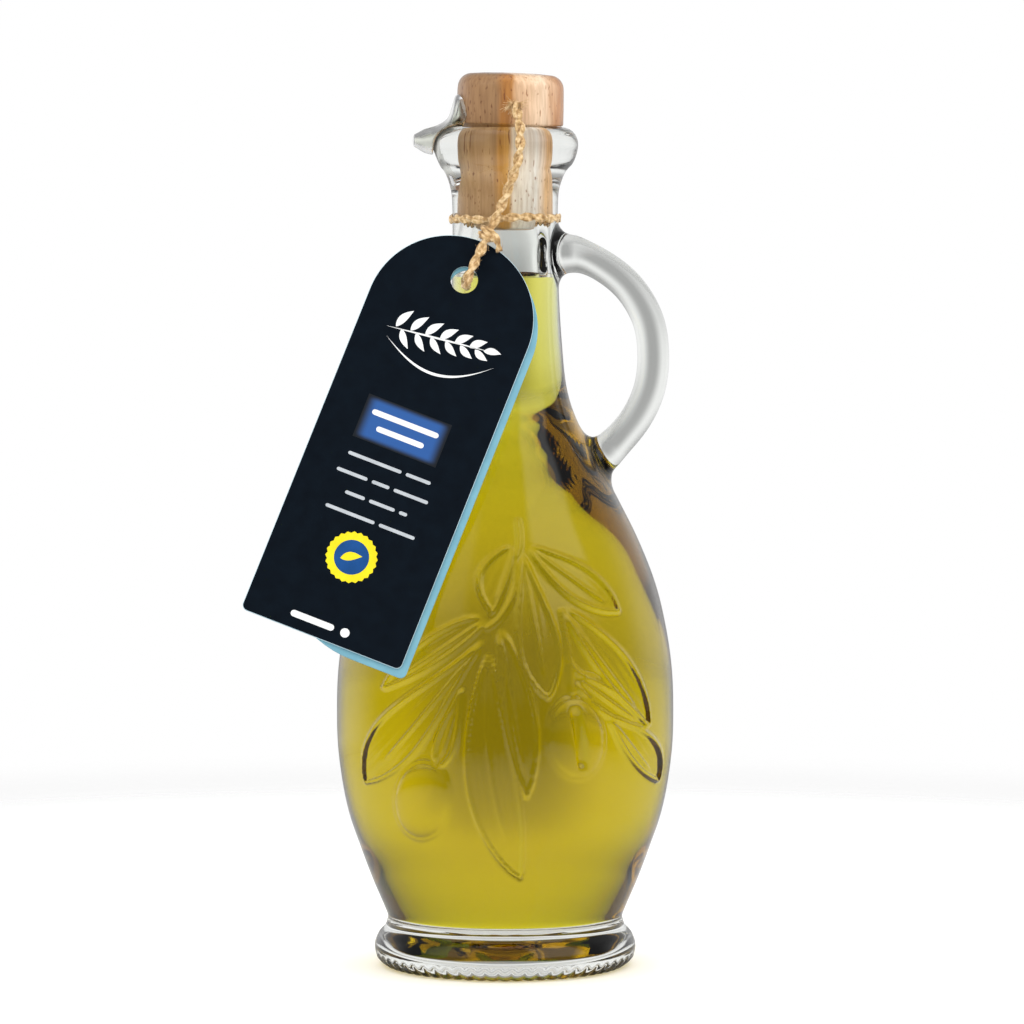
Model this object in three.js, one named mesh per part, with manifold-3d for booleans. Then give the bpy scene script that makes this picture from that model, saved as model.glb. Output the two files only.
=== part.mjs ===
// A half-litre glass bottle of olive oil: footed, pear-shaped, with a pouring beak and a side handle,
// closed by a wooden stopper, with a two-leaf paper tag tied round its neck by jute twine.
//
// Millimetres, +Z up. The origin is the middle of the foot, on the surface that the bottle stands on.
// The beak points along -X, the handle along +X, and the tag hangs on the -Y side.

import * as THREE from "three";
import { mergeVertices } from "three/addons/utils/BufferGeometryUtils.js";
import Module from "manifold-3d";

const wasm = await Module();
wasm.setup();

// ---- Driving dimensions ----
const GAP = 0.35; // clearance between separate pieces that touch
const AROUND = 36; // facets round the bottle

const FOOT_R = 34.2; // widest point of the round foot
const FOOT_Z = 5.3; // and its height
const BEARING_IN = 26; // the ring that the bottle stands on
const BEARING_OUT = 30.4;
const PUNT_Z = 3.4; // the hollow under the foot
const WAIST_R = 30.7;
const WAIST_Z = 13;
const BELLY_R = 44;
const BELLY_Z = 68;
const NECK_R = 13.8;
const COLLAR_R = 19; // the drip collar under the rim
const COLLAR_Z = 214.7;
const RIM_Z = 219.2;
const MOUTH_R = 8.2; // the bore that holds the stopper
const BORE_R = 9; // the neck's inside below it
const FLOOR_Z = 13.2; // top of the thick glass base
const OIL_Z = 180.2; // level of the oil, in the neck

const BEAK_TIP_X = -24;
const BEAK_TIP_Z = 215.8;
const CHEEK_Z = 226.6; // the beak's side walls stand this high beside the stopper
const CHANNEL_R = 2.3; // half the width of the pouring channel

const HANDLE_REACH = 42.7; // the handle's outer face, from the bottle's axis
const HANDLE_THICK = 8.2; // seen from the front
const HANDLE_DEEP = 9.4; // seen from the side
const HANDLE_SWELL = 0.55; // how much thicker it is where it is fused on
const HANDLE_SWELL_LONG = 6.5;

const HEAD_R = 13.95; // the stopper's wooden head
const HEAD_HIGH = 13.5;
const HEAD_ASIDE = 1; // how far the head sits off the shank's axis
const SHANK_R = 7.4;
const SHANK_LONG = 26.6;
const SHANK_FOOT_Z = 193; // the shank's lower end, in the neck
const STOPPER_TILT = 1.9; // degrees, leaning to the handle's side
const STOPPER_PIVOT_Z = 206;

const TWINE_D = 2.5;
const RING_Z = 195.6; // the turn of twine round the neck
const RING_THICK = 1.2; // pressed flat against the glass
const KNOT_THICK = 1.9;

const TAG_WIDE = 43.6;
const TAG_LONG = 111;
const TAG_HOLE_R = 3.5;
const TAG_HOLE_DOWN = 11; // from the top of the tag to the middle of its hole
const TAG_CORNER_R = 1.6;
const REAR_CORNER_R = 29; // the rear leaf's big round corner, towards the beak
const TAG_THICK = 0.6;
const TAG_LEAN = 12.9; // degrees, its foot forward on the shoulder of the bottle
const TAG_ROLL = 21.4; // degrees, its foot swung towards the beak
const TAG_SLIP = 1.8; // how far the rear leaf shows past the front one
const TAG_HANGS_AT = [-10.45, -18.2, 179.7]; // the middle of the rear leaf's hole

const rad = THREE.MathUtils.degToRad;
const v2 = (x, y) => new THREE.Vector2(x, y);
const v3 = (x, y, z) => new THREE.Vector3(x, y, z);

// ---- Closed solids, and how they are joined and cut ----

function solid(geometry) {
  const bare = new THREE.BufferGeometry();
  const flat = geometry.index ? geometry.toNonIndexed() : geometry;
  bare.setAttribute("position", flat.getAttribute("position"));
  const merged = mergeVertices(bare, 1e-3);
  const corners = merged.index.array;
  const kept = [];
  for (let i = 0; i < corners.length; i += 3) {
    const [a, b, c] = corners.slice(i, i + 3);
    if (a !== b && b !== c && c !== a) kept.push(a, b, c);
  }
  return new wasm.Manifold(
    new wasm.Mesh({
      numProp: 3,
      vertProperties: merged.attributes.position.array,
      triVerts: new Uint32Array(kept),
    }),
  );
}

function geometryOf(made) {
  const mesh = made.getMesh();
  const position = new THREE.BufferAttribute(mesh.vertProperties, 3);
  const indexed = new THREE.BufferGeometry().setAttribute("position", position);
  indexed.setIndex(new THREE.BufferAttribute(mesh.triVerts, 1));
  const geometry = indexed.toNonIndexed();
  geometry.computeVertexNormals();
  return geometry;
}

// A turned form about Z, from its profile of (radius, height) points, bottom to top.
function turned(profile, around = AROUND) {
  return new THREE.LatheGeometry(profile, around).rotateX(Math.PI / 2);
}

// A tube of elliptical section along a curve, wide in the curve's plane and deep across it.
function tube(curve, wide, deep, steps, sides = 8) {
  const section = new THREE.Shape();
  section.absellipse(0, 0, deep / 2, wide / 2, 0, 2 * Math.PI);
  const options = { extrudePath: curve, steps, curveSegments: sides };
  return new THREE.ExtrudeGeometry(section, options);
}

// ---- The glass ----

function footProfile() {
  const side = new THREE.SplineCurve([
    v2(BEARING_OUT, 0),
    v2(FOOT_R - 0.8, 2.3),
    v2(FOOT_R, FOOT_Z),
    v2(FOOT_R - 1, FOOT_Z + 3.1),
    v2(WAIST_R + 0.6, WAIST_Z - 2.3),
    v2(WAIST_R, WAIST_Z),
  ]);
  return [v2(0, PUNT_Z), v2(BEARING_IN - 8, PUNT_Z - 1), v2(BEARING_IN, 0), ...side.getPoints(8)];
}

function bodyProfile() {
  const side = new THREE.SplineCurve([
    v2(WAIST_R + 0.7, WAIST_Z + 2),
    v2(34.6, 22.5),
    v2(37.9, 31.3),
    v2(41.1, 41),
    v2(BELLY_R - 0.4, 56),
    v2(BELLY_R, BELLY_Z),
    v2(BELLY_R - 0.4, 78),
    v2(42.1, 88.5),
    v2(39.4, 99.8),
    v2(34.8, 111.6),
    v2(29, 123.3),
    v2(23, 135.1),
    v2(18.7, 143),
    v2(16.2, 150.7),
    v2(14.8, 163),
    v2(NECK_R, 182),
    v2(NECK_R, 200.5),
  ]);
  return side.getPoints(26);
}

function collarProfile() {
  const side = new THREE.SplineCurve([
    v2(NECK_R + 0.4, 203.6),
    v2(15.8, 207.7),
    v2(COLLAR_R - 1.3, 209.9),
    v2(COLLAR_R, COLLAR_Z),
    v2(COLLAR_R - 0.8, 217.3),
    v2(16.6, 218.7),
    v2(14.6, RIM_Z),
  ]);
  return [...side.getPoints(10), v2(0, RIM_Z)];
}

// The hollow inside, or what fills it, which stays inset from the wall.
function cavityProfile(inset, top) {
  const wall = new THREE.SplineCurve([
    v2(14, FLOOR_Z),
    v2(24, 16),
    v2(30.8, 22),
    v2(37.6, 37),
    v2(41, 53),
    v2(41.5, 67),
    v2(40.5, 82.5),
    v2(36.9, 97.5),
    v2(30, 113),
    v2(20.6, 131.5),
    v2(13.8, 142.5),
    v2(10.9, 151),
    v2(BORE_R + 0.4, 162),
    v2(BORE_R, 175),
  ]);
  const rows = 17;
  const points = [];
  for (let i = 0; i <= rows; i++) {
    const p = wall.getPoint(i / rows);
    const along = wall.getTangent(i / rows);
    points.push(v2(p.x - inset * along.y, p.y + inset * along.x));
  }
  return [v2(0, FLOOR_Z + inset), ...points, v2(BORE_R - inset, top), v2(0, top)];
}

// The mouth is narrower than the neck's inside, and ends above the rim.
function mouthProfile() {
  const narrow = SHANK_FOOT_Z + 0.6;
  const wide = narrow - 4;
  const above = RIM_Z + 6;
  return [v2(0, wide), v2(BORE_R, wide), v2(MOUTH_R, narrow), v2(MOUTH_R, above), v2(0, above)];
}

// The handle leaves the neck level, drops and comes back into the shoulder, and swells at both ends.
function handle() {
  const out = HANDLE_REACH - HANDLE_THICK / 2;
  const curve = new THREE.CatmullRomCurve3([
    v3(11.5, 0, 186.3),
    v3(19, 0, 185.9),
    v3(26.2, 0, 182.6),
    v3(32.6, 0, 177.1),
    v3(out - 1.4, 0, 169.1),
    v3(out, 0, 160.5),
    v3(out - 0.9, 0, 151.5),
    v3(34.3, 0, 143.7),
    v3(28.7, 0, 136.9),
    v3(21, 0, 130.6),
  ]);
  const geometry = tube(curve, HANDLE_THICK, HANDLE_DEEP, 24, 6);
  const steps = 400;
  const step = curve.getLength() / steps;
  const line = curve.getSpacedPoints(steps);
  const at = geometry.getAttribute("position");
  const p = v3(0, 0, 0);
  for (let i = 0; i < at.count; i++) {
    p.fromBufferAttribute(at, i);
    const away = line.map((q) => q.distanceToSquared(p));
    const nearest = away.indexOf(Math.min(...away));
    const fromEnd = Math.min(nearest, steps - nearest) * step;
    const swell = 1 + HANDLE_SWELL * Math.exp(-((fromEnd / HANDLE_SWELL_LONG) ** 2));
    p.sub(line[nearest]).multiplyScalar(swell).add(line[nearest]);
    at.setXYZ(i, p.x, p.y, p.z);
  }
  return solid(geometry);
}

// The beak's side view and its plan, each extruded and then crossed, with a channel cut along its top.
function beak() {
  const under = new THREE.SplineCurve([
    v2(-13.6, 203.5),
    v2(-15.1, 207.9),
    v2(-18.7, 212.2),
    v2(BEAK_TIP_X + 0.9, BEAK_TIP_Z - 1.5),
    v2(BEAK_TIP_X, BEAK_TIP_Z),
    v2(BEAK_TIP_X + 0.8, BEAK_TIP_Z + 1.6),
    v2(-17.9, 219.6),
    v2(-14.6, 222.8),
    v2(-13.2, CHEEK_Z),
  ]);
  const side = new THREE.Shape([
    v2(-9.5, 203.5),
    ...under.getPoints(18),
    v2(-10, CHEEK_Z),
    v2(-9.5, 216),
  ]);
  const deep = 20;
  const profile = new THREE.ExtrudeGeometry(side, { depth: deep, bevelEnabled: false });
  profile.rotateX(Math.PI / 2).translate(0, deep / 2, 0);

  const edge = new THREE.SplineCurve([
    v2(-9, 7.8),
    v2(-13, 7),
    v2(-17.5, 5),
    v2(-21.5, 3.3),
    v2(BEAK_TIP_X + 0.6, 2),
    v2(BEAK_TIP_X - 0.1, 0),
  ]).getPoints(10);
  const mirrored = edge.slice(0, -1).map((p) => v2(p.x, -p.y)).reverse();
  const plan = new THREE.ExtrudeGeometry(new THREE.Shape([...edge, ...mirrored]), {
    depth: 40,
    bevelEnabled: false,
  }).translate(0, 0, 195);

  return solid(profile).intersect(solid(plan));
}

function pouringChannel() {
  const section = new THREE.Shape();
  section.absarc(0, 0, CHANNEL_R, Math.PI, 2 * Math.PI);
  section.lineTo(CHANNEL_R, 14);
  section.lineTo(-CHANNEL_R, 14);
  const long = 22;
  const trough = new THREE.ExtrudeGeometry(section, {
    depth: long,
    bevelEnabled: false,
    curveSegments: 8,
  });
  trough.rotateX(Math.PI / 2).rotateZ(-Math.PI / 2).rotateY(rad(-7));
  return solid(trough.translate(-6, 0, RIM_Z + 1.4));
}

// The head's own place and the clearance round it, which the beak's cheeks stay out of.
function stopperRoom() {
  const lean = Math.sin(rad(STOPPER_TILT)) * (RIM_Z - STOPPER_PIVOT_Z);
  const room = HEAD_R + GAP;
  const from = RIM_Z + 0.1;
  const to = RIM_Z + 20;
  const profile = [v2(0, from), v2(room, from), v2(room, to), v2(0, to)];
  return solid(turned(profile).translate(HEAD_ASIDE + lean, 0, 0));
}

function bottleSolid() {
  const outside = turned([...footProfile(), ...bodyProfile(), ...collarProfile()]);
  const inside = turned(cavityProfile(0, SHANK_FOOT_Z - 1));
  return solid(outside)
    .add(beak().subtract(stopperRoom()))
    .add(handle())
    .subtract(pouringChannel())
    .subtract(solid(inside))
    .subtract(solid(turned(mouthProfile())));
}

// ---- The stopper ----

function stopperHead() {
  const round = 3;
  const corner = [0, 30, 60, 90].map((turn) =>
    v2(
      HEAD_R - 0.2 - round + round * Math.cos(rad(turn)),
      HEAD_HIGH - round + round * Math.sin(rad(turn)),
    ),
  );
  return turned([v2(0, 0), v2(HEAD_R - 0.5, 0), v2(HEAD_R, 0.5), ...corner, v2(0, HEAD_HIGH)], 32);
}

function stopperShank() {
  const foot = SHANK_R - 0.3;
  const chamfer = 0.6;
  return turned(
    [
      v2(0, 0),
      v2(foot - chamfer, 0),
      v2(foot, chamfer),
      v2(SHANK_R, SHANK_LONG),
      v2(0, SHANK_LONG),
    ],
    24,
  );
}

// ---- The twine ----

// A ring of oval section whose hole has the radius inside.
function ring(inside, thick, high, around) {
  const profile = [];
  for (let i = 0; i <= 8; i++) {
    const turn = (i / 8) * 2 * Math.PI;
    profile.push(v2(inside + (thick / 2) * (1 + Math.cos(turn)), (high / 2) * Math.sin(turn)));
  }
  return turned(profile, around);
}

// From behind the tag, through its hole, up in front of it, through the knot and over the collar,
// to the loose end that leans on the stopper's head.
const KNOT = v3(-4.3, -18.3, 191.6);
const TWINE_ROUTE = [
  v3(-6.4, -14.2, 188.2),
  v3(-7.9, -13.9, 185),
  v3(-9.3, -14, 181.9),
  v3(-10, -15.2, 179.4),
  v3(-10, -17.2, 178.5),
  v3(-10, -19.4, 178.6),
  v3(-9.7, -21.3, 180),
  v3(-8.8, -22, 182.4),
  v3(-7.2, -21, 185.8),
  v3(-5.7, -19.6, 188.8),
  KNOT,
  v3(-2.5, -18.1, 195.6),
  v3(-0.3, -18.3, 200.4),
  v3(1.6, -19.2, 205.5),
  v3(3.1, -20.4, 210),
  v3(3.9, -20.8, 214.8),
  v3(3.9, -19.4, 218.6),
  v3(3.4, -17.6, 221.8),
  v3(2.6, -15.9, 225.4),
];
const twineCurve = new THREE.CatmullRomCurve3(TWINE_ROUTE, false, "centripetal");

function knotAlongTwine(mesh) {
  const up = twineCurve.getTangent(TWINE_ROUTE.indexOf(KNOT) / (TWINE_ROUTE.length - 1));
  mesh.quaternion.setFromUnitVectors(v3(0, 0, 1), up);
  mesh.position.copy(KNOT);
  return mesh;
}

// ---- The tag ----

// One leaf, flat, with the middle of its hole at (0, 0): a round top and a foot with round corners.
function leaf(slip, leftCorner) {
  const half = TAG_WIDE / 2;
  const crown = TAG_HOLE_DOWN - half;
  const foot = TAG_HOLE_DOWN - TAG_LONG;
  const outline = new THREE.Shape();
  outline.moveTo(half, crown);
  outline.absarc(0, crown, half, 0, Math.PI);
  for (const [side, corner, from] of [[-1, leftCorner, 1], [1, TAG_CORNER_R, 1.5]]) {
    const x = side * (half - corner);
    outline.absarc(x, foot + corner, corner, from * Math.PI, (from + 0.5) * Math.PI);
  }
  const hole = new THREE.Path();
  hole.absarc(0, 0, TAG_HOLE_R, 0, 2 * Math.PI, true);
  outline.holes.push(hole);
  const options = { depth: TAG_THICK, bevelEnabled: false, curveSegments: 14 };
  return new THREE.ExtrudeGeometry(outline, options).translate(slip, -slip, 0);
}

// ---- The object ----

function piece(name, geometry, color, roughness, more = {}) {
  const material = new THREE.MeshStandardMaterial({ color, roughness, metalness: 0, ...more });
  const mesh = new THREE.Mesh(geometryOf(solid(geometry)), material);
  mesh.name = name;
  return mesh;
}

const GLASS = { transparent: true, opacity: 0.35 };
const WOOD = 0xc08a4c;
const TWINE = 0xc8a76b;

const bottle = new THREE.Group();

bottle.add(piece("bottle", geometryOf(bottleSolid()), 0xdfe6d8, 0.05, GLASS));
bottle.add(piece("oil", turned(cavityProfile(GAP, OIL_Z)), 0xb5a51a, 0.1));

const stopper = new THREE.Group();
stopper.position.z = STOPPER_PIVOT_Z;
stopper.rotation.y = rad(STOPPER_TILT);
const shank = piece("stopper_shank", stopperShank(), 0xb98a58, 0.7);
shank.position.z = SHANK_FOOT_Z - STOPPER_PIVOT_Z;
const head = piece("stopper_head", stopperHead(), WOOD, 0.55);
head.position.set(HEAD_ASIDE, 0, shank.position.z + SHANK_LONG + GAP);
stopper.add(shank, head);
bottle.add(stopper);

const neckTwine = piece("neck_twine", ring(NECK_R + GAP, RING_THICK, TWINE_D, 32), TWINE, 0.9);
neckTwine.position.z = RING_Z;
const knotRing = ring(TWINE_D / 2 + 1.3 * GAP, KNOT_THICK, KNOT_THICK, 12);
const knot = knotAlongTwine(piece("twine_knot", knotRing, TWINE, 0.9));
const tagTwine = piece("tag_twine", tube(twineCurve, TWINE_D, TWINE_D, 30, 4), TWINE, 0.9);
bottle.add(neckTwine, knot, tagTwine);

const tag = new THREE.Group();
tag.position.set(...TAG_HANGS_AT);
tag.rotation.set(Math.PI / 2 - rad(TAG_LEAN), 0, -rad(TAG_ROLL));
const rear = piece("tag_rear_leaf", leaf(TAG_SLIP, REAR_CORNER_R), 0x7db4c8, 0.75);
const front = piece("tag_front_leaf", leaf(0, TAG_CORNER_R), 0x0e1822, 0.6);
front.position.z = TAG_THICK + GAP;
tag.add(rear, front);
bottle.add(tag);

export default bottle;
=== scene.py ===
"""The looks of the olive oil bottle: glass, oil, wooden stopper, jute twine and a printed paper tag.

Shapes are worked out in millimetres and placed in metres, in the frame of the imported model: the bottle
stands on Z = 0, its beak points along -X, its handle along +X, and its tag hangs on the -Y side.
"""

import math
import random

import bpy
import numpy as np
from mathutils import Matrix, Vector
from mathutils.bvhtree import BVHTree
from mathutils.kdtree import KDTree


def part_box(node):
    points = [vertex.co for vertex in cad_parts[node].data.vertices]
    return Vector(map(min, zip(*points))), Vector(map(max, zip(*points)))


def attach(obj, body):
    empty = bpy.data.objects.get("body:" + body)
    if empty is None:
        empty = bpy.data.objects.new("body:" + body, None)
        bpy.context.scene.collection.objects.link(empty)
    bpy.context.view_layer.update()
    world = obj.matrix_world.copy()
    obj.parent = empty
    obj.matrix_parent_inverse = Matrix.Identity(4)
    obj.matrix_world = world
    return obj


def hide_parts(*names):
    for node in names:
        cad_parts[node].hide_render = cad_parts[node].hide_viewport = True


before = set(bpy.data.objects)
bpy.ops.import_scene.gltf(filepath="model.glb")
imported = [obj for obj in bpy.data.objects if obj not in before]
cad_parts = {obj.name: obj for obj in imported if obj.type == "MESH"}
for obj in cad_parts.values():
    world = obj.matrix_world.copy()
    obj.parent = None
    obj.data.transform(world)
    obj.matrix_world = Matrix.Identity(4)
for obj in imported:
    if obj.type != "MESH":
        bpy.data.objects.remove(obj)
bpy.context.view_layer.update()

MM = 0.001


def top_corner(node):
    """The highest corner of a CAD node, in millimetres."""
    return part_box(node)[1] / MM


# ---- Sizes, in millimetres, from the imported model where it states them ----
BELLY_R = top_corner("bottle").y
HEAD_R = top_corner("stopper_head").y
OIL_LEVEL = top_corner("oil").z
RING_LOW, RING_HIGH = (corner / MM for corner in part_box("neck_twine"))
RING_Z = (RING_LOW.z + RING_HIGH.z) / 2

NECK_R = 13.8
COLLAR_R = 19
COLLAR_Z = 214.7
RIM_Z = 219.2
MOUTH_R = 8.2
BORE_R = 9
FLOOR_Z = 13.2  # the inside of the bottle starts here
BEAK_TIP_X = -24
BEAK_FROM_X = -12.6  # where the beak leaves the neck
BEAK_FROM_Z = 203
BEAK_HALF_WIDE = 9

HANDLE_REACH = 42.7
HANDLE_THICK = 8.2
HANDLE_DEEP = 9.4
HANDLE_SWELL = 0.55
HANDLE_SWELL_LONG = 6.5

HEAD_TALL = 13.5
HEAD_ASIDE = 1
SHANK_FOOT_Z = 193

STOPPER_TILT = math.radians(1.9)
STOPPER_PIVOT = Vector((0, 0, 206))

TWINE_D = 2.5

TAG_HALF = 21.8
TAG_TOP = 11
TAG_FOOT = -100
TAG_HOLE_R = 3.5
TAG_CORNER_R = 1.6
REAR_CORNER_R = 29
TAG_THICK = 0.6
TAG_SLIP = 1.8
FRONT_LEAF_Z = 0.95
TAG_PLACE = (
    Matrix.Translation((-10.45, -18.2, 179.7))
    @ Matrix.Rotation(math.radians(90 - 12.9), 4, "X")
    @ Matrix.Rotation(math.radians(-21.4), 4, "Z")
)


# ---- Curves ----


def curve(points, per_span):
    """A smooth line through points: a centripetal Catmull-Rom curve, as the CAD model's twine is."""
    p = np.array(points, float)
    p = np.vstack([2 * p[0] - p[1], p, 2 * p[-1] - p[-2]])
    line = []
    for a, b, c, d in zip(p, p[1:], p[2:], p[3:]):
        before, here, after = (math.sqrt(np.linalg.norm(v)) for v in (b - a, c - b, d - c))
        leave = here * ((b - a) / before - (c - a) / (before + here)) + c - b
        reach = c - b - here * (d - b) / (here + after) + here * (d - c) / after
        for t in np.arange(per_span) / per_span:
            line.append(
                b
                + leave * t
                + (3 * (c - b) - 2 * leave - reach) * t**2
                + (2 * (b - c) + leave + reach) * t**3
            )
    line.append(p[-2])
    return np.array(line)


def lengths_along(line):
    steps = np.linalg.norm(np.diff(line, axis=0), axis=1)
    return np.concatenate([[0], np.cumsum(steps)])


def point_at(line, lengths, where):
    """The points of a line at the given lengths along it."""
    return np.stack([np.interp(where, lengths, line[:, k]) for k in range(line.shape[1])], axis=-1)


def even(line, step):
    """The same line with its points a step apart."""
    lengths = lengths_along(line)
    count = max(2, round(lengths[-1] / step) + 1)
    return point_at(line, lengths, np.linspace(0, lengths[-1], count))


def graded(low, high, step):
    """Stops from low to high whose spacing follows step(place)."""
    fine = np.linspace(low, high, 4001)
    middle = (fine[1:] + fine[:-1]) / 2
    count = np.concatenate([[0], np.cumsum(np.diff(fine) / step(middle))])
    return np.interp(np.linspace(0, count[-1], round(count[-1]) + 1), count, fine)


def smooth(value, low, high):
    """0 below low, 1 above high, and a smooth rise between them."""
    t = np.clip((value - low) / (high - low), 0, 1)
    return t * t * (3 - 2 * t)


# ---- Meshes ----


def shade(mesh, smooth_shaded):
    mesh.polygons.foreach_set("use_smooth", [smooth_shaded] * len(mesh.polygons))


def make(name, points, faces, *materials, place=None):
    """An object from points in millimetres; place is a matrix in millimetres too."""
    mesh = bpy.data.meshes.new(name)
    points = np.array(points, float)
    if place is not None:
        turn = np.array(place)
        points = points @ turn[:3, :3].T + turn[:3, 3]
    mesh.from_pydata((points * MM).tolist(), [], faces)
    for material in materials:
        mesh.materials.append(material)
    shade(mesh, True)
    mesh.update()
    piece = bpy.data.objects.new(name, mesh)
    bpy.context.scene.collection.objects.link(piece)
    return piece


def finished(mesh):
    """The mesh data of an object with its modifiers applied."""
    return bpy.data.meshes.new_from_object(mesh.evaluated_get(bpy.context.evaluated_depsgraph_get()))


def combine(target, tool, operation):
    """Joins, cuts or crosses target with tool, and removes tool."""
    modifier = target.modifiers.new("combine", "BOOLEAN")
    modifier.operation = operation
    modifier.solver = "MANIFOLD"
    modifier.object = tool
    mesh = finished(target)
    target.modifiers.remove(modifier)
    target.data = mesh
    bpy.data.objects.remove(tool)
    shade(mesh, True)


def rings_to_faces(rings):
    """Quads between rings of point numbers, each ring closed and of one length."""
    faces = []
    for low, high in zip(rings, rings[1:]):
        for i in range(len(low)):
            j = (i + 1) % len(low)
            faces.append((low[i], low[j], high[j], high[i]))
    return faces


def zipped(low, low_turn, high, high_turn):
    """Triangles between two closed rings of different lengths, whose points lie at the given turns."""
    faces = []
    i = j = 0
    while i < len(low) or j < len(high):
        next_low = low_turn[i + 1] if i + 1 < len(low) else 2 * math.pi
        next_high = high_turn[j + 1] if j + 1 < len(high) else 2 * math.pi
        a, b = low[i % len(low)], high[j % len(high)]
        if j == len(high) or (i < len(low) and next_low <= next_high):
            i += 1
            faces.append((a, low[i % len(low)], b))
        else:
            j += 1
            faces.append((a, high[j % len(high)], b))
    return faces


def turned_points(profile, turns):
    """Points round Z for (radius, height) rows; turn 0 is the side of the camera, -Y."""
    r, z = profile[:, :1], profile[:, 1:]
    around = np.stack([r * np.sin(turns), -r * np.cos(turns), z + 0 * turns], axis=-1)
    return around.reshape(-1, 3)


def turned(name, profile, around, *materials):
    """A closed turned form whose profile starts and ends on the axis."""
    profile = np.array(profile, float)
    turns = np.arange(around) * 2 * math.pi / around
    points = turned_points(profile[1:-1], turns)
    count = len(profile) - 2
    rings = [list(range(k * around, (k + 1) * around)) for k in range(count)]
    faces = rings_to_faces(rings)
    base, top = len(points), len(points) + 1
    points = np.vstack([points, [0, 0, profile[0][1]], [0, 0, profile[-1][1]]])
    for i in range(around):
        j = (i + 1) % around
        faces.append((base, rings[0][j], rings[0][i]))
        faces.append((top, rings[-1][i], rings[-1][j]))
    return make(name, points, faces, *materials)


def frames_along(line):
    """The direction and two steady sideways directions at each point of a line."""
    along = np.gradient(line, axis=0)
    along /= np.linalg.norm(along, axis=1, keepdims=True)
    side = np.cross(along[0], [0.3, 0.2, 1])
    sides = []
    for direction in along:
        side = side - direction * (side @ direction)
        side = side / np.linalg.norm(side)
        sides.append(side)
    sides = np.array(sides)
    return along, sides, np.cross(along, sides)


def tube(line, wide, deep, around):
    """Points and faces of a closed tube along line; wide and deep are half sizes at each point."""
    _, side, up = frames_along(line)
    turns = np.arange(around) * 2 * math.pi / around
    wide = np.broadcast_to(wide, len(line))[:, None, None]
    deep = np.broadcast_to(deep, len(line))[:, None, None]
    ring = wide * np.cos(turns)[None, :, None] * side[:, None, :]
    ring = ring + deep * np.sin(turns)[None, :, None] * up[:, None, :]
    points = (line[:, None, :] + ring).reshape(-1, 3)
    rings = [list(range(k * around, (k + 1) * around)) for k in range(len(line))]
    return points, [*rings_to_faces(rings), rings[0][::-1], rings[-1]]


def joined(parts):
    """One list of points and faces from several."""
    points, faces, start = [], [], 0
    for some, shapes in parts:
        points.append(some)
        faces += [tuple(start + k for k in shape) for shape in shapes]
        start += len(some)
    return np.vstack(points), faces


# ---- Materials ----

CONTACT_IOR = 1.0  # no step where oil and glass touch
COLOR_A, COLOR_B, COLOR_OUT = 6, 7, 2  # the colour sockets of a Mix node, which share their names


def add(tree, kind, inputs=None, **settings):
    """A node with its settings, and its inputs given as values or as other nodes' outputs."""
    node = tree.nodes.new(kind)
    for name, value in settings.items():
        setattr(node, name, value)
    for name, value in (inputs or {}).items():
        if isinstance(value, bpy.types.NodeSocket):
            tree.links.new(value, node.inputs[name])
        else:
            node.inputs[name].default_value = value
    return node


def maths(tree, operation, *values):
    """The result of a Math node."""
    return add(tree, "ShaderNodeMath", dict(enumerate(values)), operation=operation).outputs[0]


def eased(tree, value, low, high, start=0.0, end=1.0):
    """From start where value is low to end where it is high, smoothly."""
    inputs = {"Value": value, "From Min": low, "From Max": high, "To Min": start, "To Max": end}
    return add(tree, "ShaderNodeMapRange", inputs, interpolation_type="SMOOTHSTEP").outputs[0]


def mixed_colors(tree, factor, first, second, blend="MIX"):
    inputs = {"Factor": factor, COLOR_A: first, COLOR_B: second}
    node = add(tree, "ShaderNodeMix", inputs, data_type="RGBA", blend_type=blend)
    return node.outputs[COLOR_OUT]


def material(name, **inputs):
    """A Principled material, its tree and its shader; inputs have Blender's names, with _ for a space."""
    made = bpy.data.materials.new(name)
    made.use_nodes = True
    shader = made.node_tree.nodes["Principled BSDF"]
    for key, value in inputs.items():
        shader.inputs[key.replace("_", " ")].default_value = value
    return made, made.node_tree, shader


def ramp(tree, factor, *stops):
    """A colour ramp through (place, colour) stops."""
    node = add(tree, "ShaderNodeValToRGB", {"Fac": factor})
    elements = node.color_ramp.elements
    while len(elements) < len(stops):
        elements.new(0.5)
    for element, (place, color) in zip(elements, stops):
        element.position = place
        element.color = (*color, 1)
    return node.outputs["Color"]


def noise(tree, scale, detail):
    """Noise in object space, with scale cells to the metre on each axis."""
    place = add(tree, "ShaderNodeTexCoord").outputs["Object"]
    mapping = add(tree, "ShaderNodeMapping", {"Vector": place, "Scale": scale})
    inputs = {"Vector": mapping.outputs["Vector"], "Scale": 1.0, "Detail": detail}
    return add(tree, "ShaderNodeTexNoise", inputs).outputs["Fac"]


def bump(tree, shader, height, strength, distance):
    inputs = {"Height": height, "Strength": strength, "Distance": distance}
    node = add(tree, "ShaderNodeBump", inputs)
    tree.links.new(node.outputs["Normal"], shader.inputs["Normal"])


def glass_material(name, ior, tint=(0.965, 0.98, 0.955), roughness=0.0):
    made, tree, shader = material(
        name, Base_Color=(*tint, 1), Roughness=roughness, IOR=ior, Transmission_Weight=1.0
    )
    bump(tree, shader, noise(tree, (45, 45, 30), 1.5), 0.2, 0.0005)
    return made


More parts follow.
